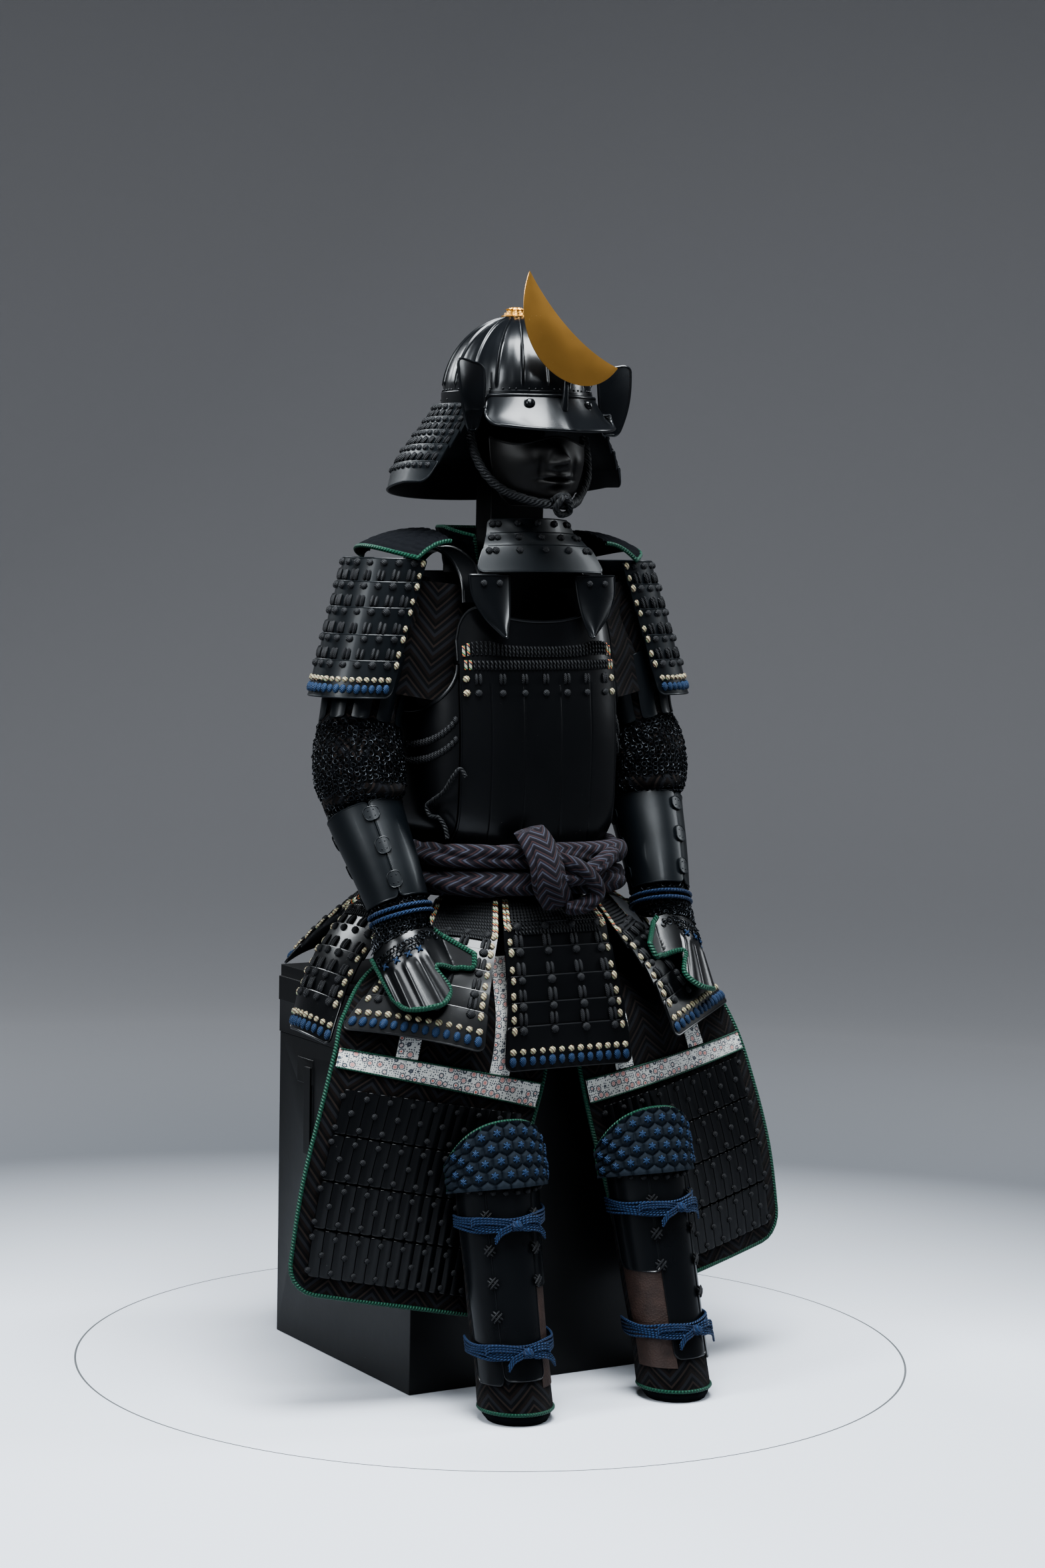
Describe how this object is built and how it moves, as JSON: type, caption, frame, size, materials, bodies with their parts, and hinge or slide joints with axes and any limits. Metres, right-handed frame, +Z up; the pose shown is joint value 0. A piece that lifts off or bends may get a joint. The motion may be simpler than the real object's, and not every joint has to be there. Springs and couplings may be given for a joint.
{
  "type": "samurai armour with armour stand and carrying chest",
  "caption": "Suit of laced samurai armour set up as if seated, held by an inner stand on its square wooden carrying chest.",
  "frame": {"origin": "centre of the carrying chest's underside, on the floor", "axes": "+Z up, the armour faces -Y, +X is the wearer's left"},
  "size_m": [0.752, 0.5836, 1.439],
  "materials": {
    "lacquer": "glossy black lacquer",
    "laced": "satin black lacquered lames with cord lacing",
    "cloth": "brown and black woven cotton",
    "belt": "twisted cloth with grey-blue and brown stripes",
    "padding": "quilted dark cloth with green piping",
    "indigo": "braided indigo cord",
    "cord": "braided black cord",
    "gold": "brushed gilt metal",
    "chest": "satin black painted wood"
  },
  "bodies": {
    "root": {"chest_body": "chest", "chest_lid": "chest", "stand": "chest", "helmet_bowl": "lacquer", "helmet_finial": "gold", "helmet_visor": "lacquer", "helmet_crest": "gold", "helmet_turnback_right": "lacquer", "helmet_turnback_left": "lacquer", "helmet_neck_guard": "laced", "chin_cord": "cord", "face_mask": "lacquer", "throat_guard": "laced", "cuirass_front": "lacquer", "cuirass_breast": "laced", "cuirass_back": "lacquer", "cuirass_side_right": "lacquer", "cuirass_side_left": "lacquer", "shoulder_strap_right": "lacquer", "leaf_plate_right": "lacquer", "shoulder_wing_right": "padding", "shoulder_strap_left": "lacquer", "leaf_plate_left": "lacquer", "shoulder_wing_left": "padding", "collar": "padding", "belt_upper": "belt", "belt_lower": "belt", "belt_knot": "belt", "side_cord": "cord", "tasset_front": "laced", "tasset_front_side_right": "laced", "tasset_front_side_left": "laced", "tasset_side_right": "laced", "tasset_side_left": "laced", "tasset_back_right": "laced", "tasset_back_left": "laced", "sleeve_right": "cloth", "forearm_guard_right": "lacquer", "wrist_cord_right": "indigo", "sleeve_left": "cloth", "forearm_guard_left": "lacquer", "wrist_cord_left": "indigo", "hand_guard_right": "lacquer", "hand_guard_left": "lacquer", "shoulder_guard_right": "laced", "shoulder_guard_left": "laced", "thigh_guard_right": "cloth", "thigh_guard_left": "cloth", "shin_cloth_right": "cloth", "shin_guard_right": "lacquer", "knee_guard_right": "padding", "leg_stuffing_right": "chest", "shin_tie_upper_right": "indigo", "shin_tie_lower_right": "indigo", "shin_cloth_left": "cloth", "shin_guard_left": "lacquer", "knee_guard_left": "padding", "leg_stuffing_left": "chest", "shin_tie_upper_left": "indigo", "shin_tie_lower_left": "indigo"}
  },
  "joints": []
}
